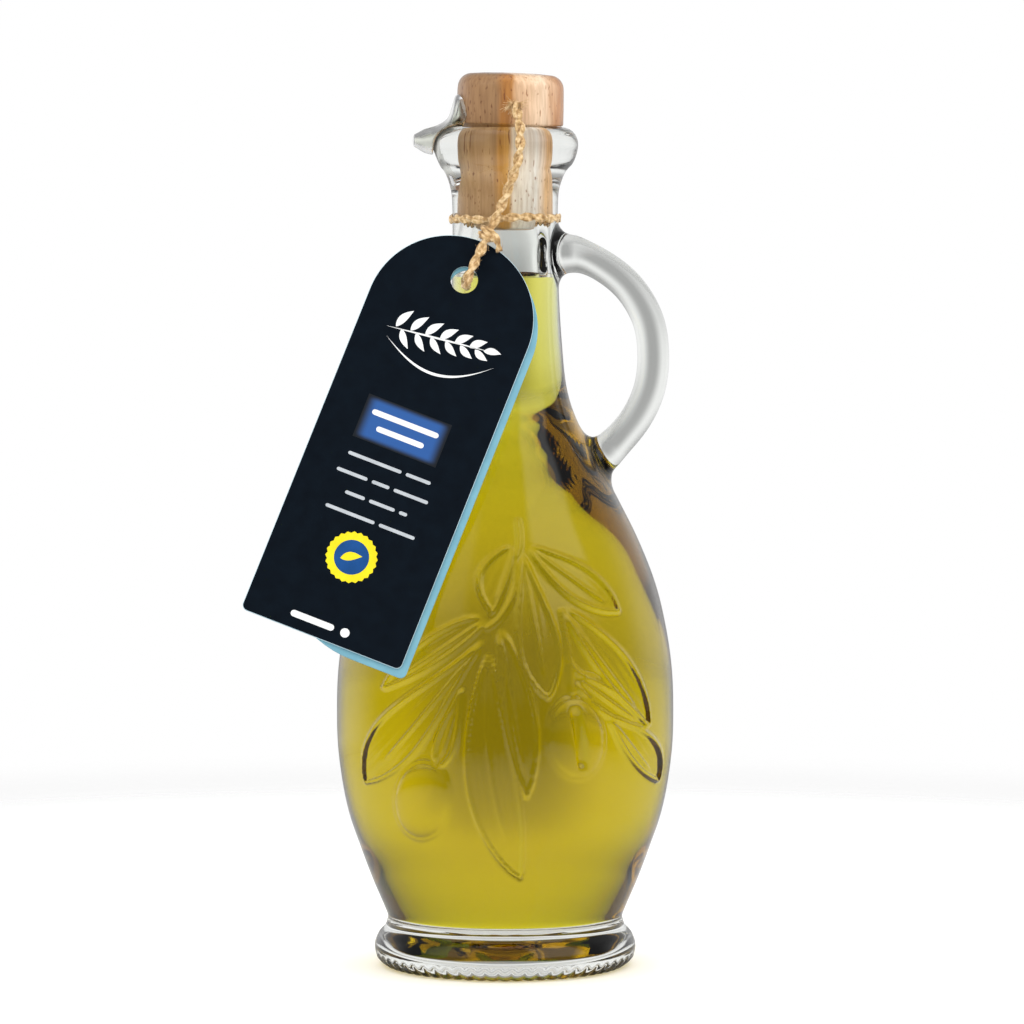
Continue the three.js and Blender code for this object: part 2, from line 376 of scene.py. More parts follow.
def oil_material(name, ior):
    made, tree, shader = material(name, Roughness=0.0, IOR=ior, Transmission_Weight=1.0)
    haze = noise(tree, (18, 18, 9), 2.0)
    color = ramp(tree, haze, (0.3, (0.985, 0.965, 0.9)), (0.7, (1, 0.985, 0.94)))
    tree.links.new(color, shader.inputs["Base Color"])
    depth = {"Color": (0.9455, 0.909, 0.0, 1), "Density": 110.0}
    absorb = add(tree, "ShaderNodeVolumeAbsorption", depth)
    output = tree.nodes["Material Output"]
    tree.links.new(absorb.outputs["Volume"], output.inputs["Volume"])
    return made


def wood_material(name, tones_and_highlight, roughness, coat):
    """Upright grain with pores, whose colour follows the side it faces, with a painted highlight on one
    side, under a coat of varnish.
    """
    made, tree, shader = material(
        name, Roughness=roughness, Coat_Weight=coat, Coat_Roughness=0.2, Coat_IOR=1.5
    )
    place = add(tree, "ShaderNodeTexCoord").outputs["Object"]
    split = add(tree, "ShaderNodeSeparateXYZ", {"Vector": place})
    toward = maths(tree, "MULTIPLY", split.outputs["Y"], -1.0)
    turn = maths(tree, "ARCTAN2", split.outputs["X"], toward)
    swayed = maths(tree, "MULTIPLY_ADD", noise(tree, (160, 160, 45), 2.0), 0.5, turn)
    middle = 0.25  # half of the sway, as noise is 0.5 on average
    ends = {"Value": swayed, "From Min": -math.pi + middle, "From Max": math.pi + middle}
    share = add(tree, "ShaderNodeMapRange", ends).outputs[0]
    stops = [((degrees + 180) / 360, color) for degrees, color in tones_and_highlight]
    # The ramp holds the wood's colours by side and a pale band that is a painted highlight of the soft
    # box on the varnish.
    side_color_and_highlight = ramp(tree, share, (0.0, tones_and_highlight[0][1]), *stops, (1.0, tones_and_highlight[0][1]))
    grain = noise(tree, (1300, 1300, 130), 4.0)
    lines = ramp(tree, grain, (0.36, (0.8, 0.75, 0.7)), (0.6, (1, 1, 1)))
    pores = noise(tree, (1500, 1500, 520), 1.0)
    spots = ramp(tree, pores, (0.66, (1, 1, 1)), (0.72, (0.55, 0.38, 0.28)))
    shades = mixed_colors(tree, 1.0, lines, spots, "MULTIPLY")
    color = mixed_colors(tree, 1.0, side_color_and_highlight, shades, "MULTIPLY")
    tree.links.new(color, shader.inputs["Base Color"])
    bump(tree, shader, grain, 0.2, 0.00015)
    return made


def twine_material():
    made, tree, shader = material("jute", Roughness=0.75, Sheen_Weight=0.25, Sheen_Roughness=0.4)
    stops = [(0.32, (0.3, 0.16, 0.05)), (0.5, (0.56, 0.36, 0.155)), (0.66, (0.8, 0.6, 0.34))]
    color = ramp(tree, noise(tree, (900, 900, 900), 3.0), *stops)
    tree.links.new(color, shader.inputs["Base Color"])
    bump(tree, shader, noise(tree, (5200, 5200, 1500), 2.0), 0.4, 0.0002)
    return made


def paper_material(name, color, shade, roughness):
    """Printed card: a faint mottle in its colour and the tooth of its fibres."""
    made, tree, shader = material(name, Roughness=roughness, Specular_IOR_Level=0.08)
    tone = ramp(tree, noise(tree, (260, 260, 260), 5.0), (0.3, shade), (0.7, color))
    tree.links.new(tone, shader.inputs["Base Color"])
    bump(tree, shader, noise(tree, (3800, 3800, 3800), 3.0), 0.25, 0.00008)
    return made


# ---- The camera ----

CAMERA_FROM = Vector((0.0018, -1.48, 0.223))
CAMERA_TO = Vector((0.0018, 0, 0.1189))
CAMERA_LENS = 199.8


def add_camera():
    data = bpy.data.cameras.new("camera")
    data.lens = CAMERA_LENS
    data.sensor_width = 36
    data.clip_start = 0.05
    data.clip_end = 20
    camera = bpy.data.objects.new("camera", data)
    camera.location = CAMERA_FROM
    camera.rotation_euler = (CAMERA_TO - CAMERA_FROM).to_track_quat("-Z", "Y").to_euler()
    bpy.context.scene.collection.objects.link(camera)
    bpy.context.scene.camera = camera


add_camera()

# ---- The twine ----

# The route of the free twine, in millimetres: from behind the tag, through its hole, up in front of it,
# through the knot and over the collar, to the loose end that leans on the stopper's head.
KNOT = (-4.3, -18.3, 191.6)
TWINE_ROUTE = [
    (-6.4, -14.2, 188.2),
    (-7.9, -13.9, 185),
    (-9.3, -14, 181.9),
    (-10, -15.2, 179.4),
    (-10, -17.2, 178.5),
    (-10, -19.4, 178.6),
    (-9.7, -21.3, 180),
    (-8.8, -22, 182.4),
    (-7.2, -21, 185.8),
    (-5.7, -19.6, 188.8),
    KNOT,
    (-2.5, -18.1, 195.6),
    (-0.3, -18.3, 200.4),
    (1.6, -19.2, 205.5),
    (3.1, -20.4, 210),
    (3.9, -20.8, 214.8),
    (3.9, -19.4, 218.6),
    (3.4, -17.6, 221.8),
    (2.6, -15.9, 225.4),
]
PLY_PITCH = 8.5  # one turn of the two plies round each other
YARN_PITCH = 40  # one turn of the yarns in a ply
PLY_OFFSET = 0.6
YARN_OFFSET = 0.44
YARN_R = 0.3
YARNS = 7


def twisted(line, seed, phase=0.0, size=1.0):
    """Two plies of several yarns each, laid round a line."""
    rng = random.Random(seed)
    _, side, up = frames_along(line)
    run = lengths_along(line)
    parts = []
    for ply in range(2):
        turn = phase + 2 * math.pi * run / PLY_PITCH + math.pi * ply
        centre = line + size * PLY_OFFSET * (
            np.cos(turn)[:, None] * side + np.sin(turn)[:, None] * up
        )
        for yarn in range(YARNS):
            own = -2 * math.pi * run / YARN_PITCH + 2 * math.pi * yarn / YARNS
            wander = rng.uniform(0, 2 * math.pi)
            out = YARN_OFFSET * (1 + 0.16 * np.sin(run / rng.uniform(1.5, 3) + wander))
            place = centre + size * (
                (out * np.cos(own))[:, None] * side + (out * np.sin(own))[:, None] * up
            )
            thick = YARN_R * rng.uniform(0.85, 1.2)
            thick = thick * (1 + 0.15 * np.sin(run / rng.uniform(0.8, 2) + wander))
            ends = np.minimum(run, run[-1] - run)
            thick = size * thick * (0.35 + 0.65 * smooth(ends, 0, 0.9))
            parts.append(tube(place, thick, thick, 6))
    return parts


def hairs(line, count, seed, reach=1.6):
    """Loose fibres that stand out of the twine."""
    rng = np.random.default_rng(seed)
    along, side, up = frames_along(line)
    parts = []
    for _ in range(count):
        k = rng.integers(1, len(line) - 1)
        turn = rng.uniform(0, 2 * math.pi)
        out = math.cos(turn) * side[k] + math.sin(turn) * up[k]
        length = rng.uniform(0.5, 1) * reach
        lean = along[k] * rng.choice([-1, 1]) * rng.uniform(0.4, 1.6)
        bend = rng.normal(0, 0.25, 3)
        t = np.linspace(0, 1, 6)[:, None]
        start = line[k] + out * TWINE_D * 0.36
        path = start + length * (t * (lean + out * 0.35) + t**2 * (out * 0.3 + bend))
        thin = np.linspace(0.05, 0.02, 6)
        parts.append(tube(path, thin, thin, 3))
    return parts


def tag_twine(jute):
    line = even(curve(TWINE_ROUTE, 24), 0.4)
    points, faces = joined(twisted(line, seed=3) + hairs(line, 110, seed=5))
    piece = make("twine_cord", points, faces, jute)
    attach(piece, "root")
    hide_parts("tag_twine")
    return piece, line


def frayed_end(jute):
    """The opened end of the twine, whose fibres bend back in a tuft."""
    rng = np.random.default_rng(11)
    tip = np.array(TWINE_ROUTE[-1])
    parts = []
    for _ in range(240):
        spread = rng.normal(0, 1, 3) * (0.7, 0.35, 0.35)
        t = np.linspace(0, 1, 8)[:, None]
        start = tip + (rng.uniform(-0.7, 0.7), rng.uniform(-0.5, 0.4), -0.9)
        rise = np.array((0, -0.15, rng.uniform(1.0, 2.4)))
        fall = np.array((-0.3, -0.25, rng.uniform(-2.8, -0.9)))
        path = start + t * (rise + spread * 0.9) + t**2 * (fall + spread * 1.1)
        thin = np.linspace(0.12, 0.04, 8) * rng.uniform(0.7, 1.2)
        parts.append(tube(path, thin, thin, 4))
    points, faces = joined(parts)
    return make("twine_frayed_end", points, faces, jute)


def knot(jute):
    """One and a half turns of twine round the standing part, with its short end hanging."""
    middle = np.array(KNOT)
    along = np.array(TWINE_ROUTE[11], float) - np.array(TWINE_ROUTE[9], float)
    along /= np.linalg.norm(along)
    side = np.cross(along, (0, 1, 0))
    side /= np.linalg.norm(side)
    out = np.cross(side, along)
    wrap = []
    for k in range(13):
        turn = math.radians(-150 + k * 45)
        rise = -1.3 + 2.3 * k / 12
        wrap.append(middle + along * rise + 1.75 * (math.cos(turn) * side + math.sin(turn) * out))
    short_end = [middle + p for p in ((1.6, -1.6, -0.4), (2.4, -1.5, -2.2), (2.9, -0.9, -4.3))]
    line = even(curve([*wrap, *short_end], 10), 0.4)
    points, faces = joined(twisted(line, seed=8, size=0.8) + hairs(line, 60, seed=9, reach=1.4))
    piece = make("twine_knot_tied", points, faces, jute)
    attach(piece, "root")
    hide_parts("twine_knot")
    return piece


def neck_twine(jute):
    """The turn of twine round the neck, closed behind the knot."""
    radius = NECK_R + TWINE_D / 2
    line = []
    for degrees in range(-18, 343, 6):
        turn = math.radians(degrees)
        z = RING_Z + 0.35 * math.sin(2 * turn + 0.8) + 0.2 * math.sin(5 * turn)
        line.append((radius * math.sin(turn), -radius * math.cos(turn), z))
    line = even(curve(line, 4), 0.45)
    points, faces = joined(twisted(line, seed=21, size=0.85))
    flat = NECK_R + 0.1 + 0.34 * (np.hypot(points[:, 0], points[:, 1]) - NECK_R - 0.15)
    points[:, :2] *= (np.maximum(flat, NECK_R) / np.hypot(points[:, 0], points[:, 1]))[:, None]
    piece = make("twine_round_neck", points, faces, jute)
    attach(piece, "root")
    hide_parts("neck_twine")
    return piece


jute = twine_material()
twine, twine_line = tag_twine(jute)
fray = frayed_end(jute)
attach(fray, "root")
tied = knot(jute)
neck_twine(jute)

# ---- The glass ----

FOOT_SIDE = [(30.4, 0), (33.4, 2.3), (34.2, 5.3), (33.2, 8.4), (31.3, 10.7), (30.7, 13)]
BODY_SIDE = [
    (31.4, 15),
    (34.6, 22.5),
    (37.9, 31.3),
    (41.1, 41),
    (BELLY_R - 0.4, 56),
    (BELLY_R, 68),
    (BELLY_R - 0.4, 78),
    (42.1, 88.5),
    (39.4, 99.8),
    (34.8, 111.6),
    (29, 123.3),
    (23, 135.1),
    (18.7, 143),
    (16.2, 150.7),
    (14.8, 163),
    (NECK_R, 182),
    (NECK_R, 200.5),
]
COLLAR_SIDE = [
    (NECK_R + 0.4, 203.6),
    (15.8, 207.7),
    (COLLAR_R - 1.3, 209.9),
    (COLLAR_R, COLLAR_Z),
    (COLLAR_R - 0.8, 217.3),
    (16.6, 218.7),
    (14.6, RIM_Z),
]
CAVITY_SIDE = [
    (14, FLOOR_Z),
    (24, 16),
    (30.8, 22),
    (37.6, 37),
    (41, 53),
    (41.5, 67),
    (40.5, 82.5),
    (36.9, 97.5),
    (30, 113),
    (20.6, 131.5),
    (13.8, 142.5),
    (10.9, 151),
    (BORE_R + 0.4, 162),
    (BORE_R, 175),
]
HANDLE_OUT = HANDLE_REACH - HANDLE_THICK / 2
HANDLE_LINE = [
    (11.5, 0, 186.3),
    (19, 0, 185.9),
    (26.2, 0, 182.6),
    (32.6, 0, 177.1),
    (HANDLE_OUT - 1.4, 0, 169.1),
    (HANDLE_OUT, 0, 160.5),
    (HANDLE_OUT - 0.9, 0, 151.5),
    (34.3, 0, 143.7),
    (28.7, 0, 136.9),
    (21, 0, 130.6),
]

# The embossed branch on the front of the belly, in (X, Z). A leaf has its foot and tip, how far each
# side stands off the line between them, how far along it is widest, and how far its middle bends.
RELIEF_LOW, RELIEF_HIGH = 25, 121
RELIEF_FROM, RELIEF_TO = math.radians(-61), math.radians(74)
LEAVES = [
    ((2.5, 113), (-3, 96.3), 0.8, 5.8, 0.55, 0),
    ((5.3, 112.8), (28.7, 95.5), 3.9, 3.6, 0.58, 0),
    ((4, 112), (10.9, 74.7), 5.0, 4.9, 0.66, 0),
    ((14, 97.5), (36.6, 65.8), 5.5, 1.6, 0.55, 0),
    ((18, 79.5), (36, 65.3), 2.4, 3.1, 0.45, 0),
    ((26, 69.5), (39.1, 50.8), 5.2, 1.8, 0.6, 0),
    ((-4.5, 94.6), (-30.7, 76), 2.1, 4.1, 0.45, 0),
    ((-4.5, 90), (-35.5, 51), 4.1, 7.2, 0.7, 0),
    ((-10.5, 78), (-17, 56.5), 2.3, 2.3, 0.7, 0),
    ((-3.5, 88), (3.8, 27.9), 6.2, 6.2, 0.6, -4),
    ((-1.5, 93), (5.5, 49.5), 5.3, 2.4, 0.55, 0),
]
STEMS = [
    [(3.2, 118.4), (3.6, 113.3), (3, 110)],
    [(3, 110), (2.3, 101), (-1.8, 94), (-4.5, 92)],
    [(14.5, 96), (15.7, 88.4), (16.5, 83.3), (19, 80.2), (23.6, 78.7), (28.2, 75.4)],
    [(16.5, 83.3), (16.8, 78), (17.5, 73.9)],
]
OLIVES = [((18, 63.8), 7.1, 10.1, 8, True), ((-21, 47.6), 6.9, 9.9, -6, False)]
EDGE_HIGH = 1.0  # the raised outline of a leaf
RIB_HIGH = 0.8
BLADE_HIGH = 0.25
OLIVE_HIGH = 2.0


def leaf_height(x, z, foot, tip, left, right, widest, bend):
    """The relief of one leaf at points (x, z)."""
    foot, tip = np.array(foot), np.array(tip)
    t = np.linspace(0, 1, 90)
    aside = np.array([foot[1] - tip[1], tip[0] - foot[0]]) / np.linalg.norm(tip - foot)
    spine = foot + t[:, None] * (tip - foot) + (4 * bend * t * (1 - t))[:, None] * aside
    along = np.gradient(spine, axis=0)
    along /= np.linalg.norm(along, axis=1, keepdims=True)
    away = np.stack([x, z], axis=-1)[:, None, :] - spine[None]
    nearest = np.argmin((away**2).sum(-1), axis=1)
    away = away[np.arange(len(x)), nearest]
    direction = along[nearest]
    off = direction[:, 0] * away[:, 1] - direction[:, 1] * away[:, 0]
    far = np.linalg.norm(away, axis=1)
    share = t[nearest]
    swell = np.sin(math.pi * share ** (math.log(0.5) / math.log(widest))) ** 0.75
    half = np.where(off > 0, left, right) * swell
    steep = np.sqrt(1 + (np.where(off > 0, left, right) * 3 / np.linalg.norm(tip - foot)) ** 2)
    from_edge = (far - half) / steep
    begins = smooth(share, 0.02, 0.12)
    edge = EDGE_HIGH * begins * np.exp(-((from_edge / 0.6) ** 2))
    rib = RIB_HIGH * begins * (1 - smooth(share, 0.75, 0.95)) * np.exp(-((off / 0.55) ** 2))
    veins = 0.035 * np.sin(off * 3.1 + 5 * share)
    blade = (BLADE_HIGH + veins) * begins * smooth(-from_edge, -0.3, 0.7)
    return np.maximum(np.maximum(edge, rib), blade)


def stem_height(x, z, route, high, half):
    line = curve(route, 12)
    away = np.stack([x, z], axis=-1)[:, None, :] - line[None]
    far = np.sqrt((away**2).sum(-1).min(axis=1))
    return high * np.exp(-((far / half) ** 4))


def olive_height(x, z, middle, half_wide, half_high, tilt, grooved):
    turn = math.radians(tilt)
    dx, dz = x - middle[0], z - middle[1]
    across = (dx * math.cos(turn) + dz * math.sin(turn)) / half_wide
    up = (dz * math.cos(turn) - dx * math.sin(turn)) / half_high
    out = across**2 + up**2
    dome = OLIVE_HIGH * np.sqrt(np.clip(1 - out, 0, 1))
    rim = 0.4 * np.exp(-(((np.sqrt(out) - 1.03) * half_wide / 0.5) ** 2))
    height = np.maximum(dome, rim)
    if grooved:
        inside = smooth(1 - np.abs(up), 0.12, 0.45)
        height = height - 1.5 * inside * np.exp(-(((across - 0.06) * half_wide / 1.25) ** 4))
    return height


def relief(x, z):
    height = np.zeros(len(x))
    for leaf in LEAVES:
        height = np.maximum(height, leaf_height(x, z, *leaf))
    for k, route in enumerate(STEMS):
        height = np.maximum(height, stem_height(x, z, route, 0.9 if k == 0 else 0.65, 0.8))
    for olive in OLIVES:
        bulge = olive_height(x, z, *olive)
        height = np.where(np.abs(bulge) > 0.02, np.maximum(bulge, height * 0.5), height)
    return height


KNURLS = 60
KNURL_DEEP = 0.45
KNURL_TALL = 0.25
FINE_STEP = 0.46  # between the points that carry the relief
COARSE_STEP = 1.4


def outer_glass(glass):
    """The outside of the bottle, in three bands with as many columns as each one's detail needs."""
    under = [(0.01, 3.4), (9, 3.2), (18, 2.4), (23, 0.9), (26, 0)]
    foot = even(curve([*under, (28, 0), *FOOT_SIDE], 10), 0.9)
    foot_turns = np.arange(360) * math.radians(1)

    body_line = curve([FOOT_SIDE[-2], FOOT_SIDE[-1], *BODY_SIDE], 30)
    body_line = body_line[30:]
    run = lengths_along(body_line)
    height = body_line[:, 1]
    body_end = np.interp(RELIEF_HIGH + 3, height, run)
    fine_from, fine_to = np.interp([RELIEF_LOW, RELIEF_HIGH], height, run)

    def row_step(at):
        return np.where((at > fine_from) & (at < fine_to), FINE_STEP, COARSE_STEP)

    def column_step(at):
        fine = (at > RELIEF_FROM) & (at < RELIEF_TO)
        return np.where(fine, FINE_STEP / BELLY_R, math.radians(4.5))

    body = point_at(body_line, run, graded(1.0, body_end, row_step))
    body_turns = graded(-math.pi, math.pi, column_step)[:-1]
    body_turns = np.sort(np.mod(body_turns, 2 * math.pi))

    top_line = curve([*BODY_SIDE[8:], *COLLAR_SIDE], 20)
    top_line = top_line[top_line[:, 1] > body[-1][1] + 0.8]
    top = np.vstack([even(top_line, 1.05), (13, RIM_Z), (0.01, RIM_Z)])
    top_turns = np.arange(144) * math.radians(2.5)

    bands, points, faces, start = [], [], [], 0
    for profile, turns in ((foot, foot_turns), (body, body_turns), (top, top_turns)):
        points.append(turned_points(profile, turns))
        count = len(turns)
        rings = [list(range(start + k * count, start + (k + 1) * count)) for k in range(len(profile))]
        start += len(profile) * count
        bands.append((rings, turns))
        faces += rings_to_faces(rings)
    for (low, low_turns), (high, high_turns) in zip(bands, bands[1:]):
        faces += zipped(low[-1], low_turns, high[0], high_turns)
    faces += [bands[0][0][0][::-1], bands[-1][0][-1]]
    knurl(points[0])
    emboss(points[1], body, body_turns)
    return make("glass_bottle", np.vstack(points), faces, glass)


def knurl(points):
    """Short ribs round the heel of the foot, which keep the bearing edge off the table."""
    r = np.hypot(points[:, 0], points[:, 1])
    z = points[:, 2]
    turn = np.arctan2(points[:, 0], -points[:, 1])
    heel = smooth(r, 27.5, 30) * (1 - smooth(z, 2.2, 3.4))
    wave = (0.5 + 0.5 * np.cos(KNURLS * turn)) ** 0.7 - 0.5
    grow = 1 + heel * wave * KNURL_DEEP / np.maximum(r, 1)
    points[:, 0] *= grow
    points[:, 1] *= grow
    points[:, 2] = np.maximum(z + heel * (0.5 - wave) * KNURL_TALL, 0)


def emboss(points, profile, turns):
    """Raises the branch on the body's points, along the wall's normal."""
    slope = np.gradient(profile, axis=0)
    slope /= np.linalg.norm(slope, axis=1, keepdims=True)
    out_r = np.repeat(slope[:, 1], len(turns))
    out_z = np.repeat(-slope[:, 0], len(turns))
    turn = np.tile(turns, len(profile))
    x, z = points[:, 0], points[:, 2]
    near = (points[:, 1] < 0) & (z > RELIEF_LOW - 3) & (z < RELIEF_HIGH + 3)
    height = np.zeros(len(points))
    height[near] = relief(x[near], z[near])
    points[:, 0] += height * out_r * np.sin(turn)
    points[:, 1] -= height * out_r * np.cos(turn)
    points[:, 2] += height * out_z


def handle(glass):
    line = even(curve(HANDLE_LINE, 16), 0.9)
    run = lengths_along(line)
    from_end = np.minimum(run, run[-1] - run)
    swell = 1 + HANDLE_SWELL * np.exp(-((from_end / HANDLE_SWELL_LONG) ** 2))
    _, side, _ = frames_along(line)
    wide_first = abs(side[0][1]) < 0.5
    half = (HANDLE_THICK / 2, HANDLE_DEEP / 2)
    wide, deep = half if wide_first else half[::-1]
    points, faces = tube(line, wide * swell, deep * swell, 40)
    return make("handle", points, faces, glass)


# The beak's upper edge and underside in (X, Z), and its plan in (X, half width).
BEAK_TOP = [
    (-8, 228),
    (-12.6, 227.6),
    (-13.7, 224.8),
    (-14.9, 221.6),
    (-17.3, 219.8),
    (-21, 218.6),
    (-23.3, 217.4),
]
BEAK_UNDER = [
    (-8, 202),
    (-13.4, 202.5),
    (-14.6, 206.4),
    (-16.2, 209.2),
    (-18.5, 211.4),
    (-21, 212.5),
    (-23.3, 213.9),
]
BEAK_PLAN = [(-8, 9), (-12, 8.6), (-15.5, 7), (-18.5, 5), (-21, 3.6), (-23.3, 2.3)]


def beak(glass):
    """A lofted beak: sections across X that are boxy by the stopper and round at the tip."""
    count, around = 40, 48
    start, blunt = BEAK_TOP[0][0], BEAK_TOP[-1][0]
    nose = blunt - BEAK_TIP_X
    top, under, plan = (curve(line, 12) for line in (BEAK_TOP, BEAK_UNDER, BEAK_PLAN))
    turns = np.arange(around) * 2 * math.pi / around
    rounding = blunt - nose * np.sin(np.linspace(0.2, 1.56, 8))
    x = np.concatenate([np.linspace(start, blunt, count), rounding])
    high_z, low_z, half = (np.interp(-x, -line[:, 0], line[:, 1]) for line in (top, under, plan))
    close = np.sqrt(np.clip(1 - (np.maximum(blunt - x, 0) / nose) ** 2, 0, 1))
    tall = (high_z - low_z) / 2 * close
    half = half * close
    points, rings = [], []
    for k in range(len(x)):
        power = 2 / (2 + 2.5 * float(smooth(x[k], -19, -14)))
        across = np.sign(np.cos(turns)) * np.abs(np.cos(turns)) ** power
        up = np.sign(np.sin(turns)) * np.abs(np.sin(turns)) ** power
        middle = (high_z[k] + low_z[k]) / 2
        points += [(x[k], half[k] * a, middle + tall[k] * b) for a, b in zip(across, up)]
        rings.append(list(range(k * around, (k + 1) * around)))
    faces = [*rings_to_faces(rings), rings[0][::-1], rings[-1]]
    return make("beak", points, faces, glass)


def trough(glass):
    """What the pouring channel takes away: a round-bottomed run from the mouth that fades by the tip."""
    points, rings = [], []
    stations = [(-6, 2.4, RIM_Z + 1.5), (-17, 2, RIM_Z + 0.4), (-24.5, 0.9, RIM_Z - 1)]
    bottom = np.linspace(math.pi, 2 * math.pi, 15)
    for k, (x, half, z) in enumerate(stations):
        section = [(half * math.cos(a), half * math.sin(a)) for a in bottom]
        section += [(half, 14), (-half, 14)]
        points += [(x, y, z + dz) for y, dz in section]
        rings.append(list(range(k * len(section), (k + 1) * len(section))))
    faces = [*rings_to_faces(rings), rings[0][::-1], rings[-1]]
    return make("trough", points, faces, glass)


def soften(piece, first, second, reach, rounds):
    """Rounds the seam where two surfaces meet, as fused glass flows together."""
    mesh = piece.data
    points = np.empty(len(mesh.vertices) * 3)
    mesh.vertices.foreach_get("co", points)
    points = points.reshape(-1, 3)
    on_both = 2e-6
    seam = []
    for point in points:
        at = Vector(point)
        if first.find_nearest(at, on_both)[0] and second.find_nearest(at, on_both)[0]:
            seam.append(at)
    tree = KDTree(len(seam))
    for k, at in enumerate(seam):
        tree.insert(at, k)
    tree.balance()
    box_low = np.min(seam, axis=0) - reach
    box_high = np.max(seam, axis=0) + reach
    weight = np.zeros(len(points))
    for k in np.flatnonzero(((points > box_low) & (points < box_high)).all(axis=1)):
        far = tree.find(points[k])[2]
        weight[k] = float(smooth(1 - far / reach, 0, 0.6))
    edges = np.empty(len(mesh.edges) * 2, int)
    mesh.edges.foreach_get("vertices", edges)
    edges = edges.reshape(-1, 2)
    edges = edges[(weight[edges] > 0).any(axis=1)]
    for _ in range(rounds):
        total = np.zeros_like(points)
        count = np.zeros(len(points))
        for a, b in ((0, 1), (1, 0)):
            np.add.at(total, edges[:, a], points[edges[:, b]])
            np.add.at(count, edges[:, a], 1)
        moving = (weight > 0) & (count > 0)
        mean = total[moving] / count[moving, None]
        points[moving] += 0.6 * weight[moving, None] * (mean - points[moving])
    mesh.vertices.foreach_set("co", points.ravel())
    mesh.update()


def surface_of(piece):
    return BVHTree.FromObject(piece, bpy.context.evaluated_depsgraph_get())


def stopper_room(glass):
    """What the stopper's head takes from the beak's cheeks."""
    lean = math.sin(STOPPER_TILT) * (RIM_Z - STOPPER_PIVOT.z)
    room = HEAD_R + 0.35
    low = RIM_Z + 0.1
    piece = turned("room", [(0, low), (room, low), (room, low + 20), (0, low + 20)], 128, glass)
    piece.data.transform(Matrix.Translation(((HEAD_ASIDE + lean) * MM, 0, 0)))
    return piece


def wetted(bottle):
    """The wall that the oil touches: oil and glass bend light alike, so nothing shows where they meet."""
    bottle.data.materials.append(glass_material("wetted_glass", ior=CONTACT_IOR))
    wall = even(np.vstack([(0, FLOOR_Z), curve(CAVITY_SIDE, 20), (BORE_R, OIL_LEVEL)]), 0.4)
    tree = KDTree(len(wall))
    for k, (r, z) in enumerate(wall):
        tree.insert((r, z, 0), k)
    tree.balance()
    near = 0.6
    for polygon in bottle.data.polygons:
        x, y, z = (v / MM for v in polygon.center)
        if z < OIL_LEVEL and tree.find((math.hypot(x, y), z, 0))[2] < near:
            polygon.material_index = 1


def frosted(bottle):
    """The beak, whose pressed glass is greener and less clear than the rest."""
    bottle.data.materials.append(glass_material("pressed_glass", 1.5, (0.93, 0.95, 0.86), 0.32))
    for polygon in bottle.data.polygons:
        x, y, z = (v / MM for v in polygon.center)
        beyond_mouth = math.hypot(x, y) > MOUTH_R + 0.4
        if x < BEAK_FROM_X and z > BEAK_FROM_Z and abs(y) < BEAK_HALF_WIDE and beyond_mouth:
            polygon.material_index = 2


def glass_bottle():
    glass = glass_material("clear_glass", ior=1.5)
    bottle = outer_glass(glass)
    for part, reach, rounds in ((handle(glass), 0.0045, 40), (beak(glass), 0.003, 25)):
        first, second = surface_of(bottle), surface_of(part)
        combine(bottle, part, "UNION")
        soften(bottle, first, second, reach, rounds)
    combine(bottle, stopper_room(glass), "DIFFERENCE")
    combine(bottle, trough(glass), "DIFFERENCE")
    cavity = curve(CAVITY_SIDE, 8)
    narrow = SHANK_FOOT_Z + 0.6
    inside = [(0, FLOOR_Z), *cavity, (BORE_R, OIL_LEVEL), (BORE_R, narrow - 4), (MOUTH_R, narrow)]
    inside += [(MOUTH_R, RIM_Z + 8), (0, RIM_Z + 8)]
    combine(bottle, turned("inside", inside, 128, glass), "DIFFERENCE")
    wetted(bottle)
    frosted(bottle)
    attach(bottle, "root")
    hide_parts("bottle")
    return bottle


def olive_oil():
    """The oil: it reaches a little into the wall, and its surface climbs at the edge."""
    into_wall = 0.12
    level = OIL_LEVEL
    wall = curve(CAVITY_SIDE, 8)
    slope = np.gradient(wall, axis=0)
    slope /= np.linalg.norm(slope, axis=1, keepdims=True)
    wall = wall + into_wall * np.stack([slope[:, 1], -slope[:, 0]], axis=-1)
    rim = BORE_R + into_wall
    climb = [(rim - s, level + 1.1 * math.exp(-s / 0.8)) for s in np.linspace(0, 5, 12)]
    profile = [(0, FLOOR_Z - into_wall), *wall, (rim, level - 3), *climb, (0, level)]
    inner = oil_material("oil_in_contact", ior=CONTACT_IOR)
    surface = oil_material("oil_surface", ior=1.47)
    piece = turned("olive_oil", profile, 128, inner, surface)
    for polygon in piece.data.polygons:
        x, y, z = (v / MM for v in polygon.center)
        on_top = z > level - 0.5 and math.hypot(x, y) < BORE_R - 0.1
        polygon.material_index = 1 if on_top else 0
    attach(piece, "root")
    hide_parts("oil")
    return piece


glass_bottle()
olive_oil()

# ---- The stopper ----


# Wood colours by the side that they face: brown towards the beak, an amber streak, a pale painted
# highlight.
# Each row is a turn from the -Y side towards +X in degrees, and the colour there.
HEAD_TONES_AND_HIGHLIGHT = [
    (-90, (0.33, 0.18, 0.085)),
    (-14, (0.32, 0.17, 0.065)),
    (-5, (0.42, 0.165, 0.02)),
    (6, (0.46, 0.19, 0.03)),
    (14, (0.72, 0.46, 0.26)),
    (44, (0.86, 0.65, 0.46)),
    (64, (0.5, 0.22, 0.07)),
]
# The shank's colours by side, with the same painted highlight of the right soft box, paler, towards +X.
SHANK_TONES_AND_HIGHLIGHT = [
    (-90, (0.56, 0.34, 0.16)),
    (-14, (0.56, 0.33, 0.14)),
    (-5, (0.68, 0.33, 0.06)),
    (6, (0.74, 0.4, 0.1)),
    (14, (0.97, 0.84, 0.66)),
    (50, (0.98, 0.93, 0.85)),
    (75, (0.9, 0.56, 0.26)),
]


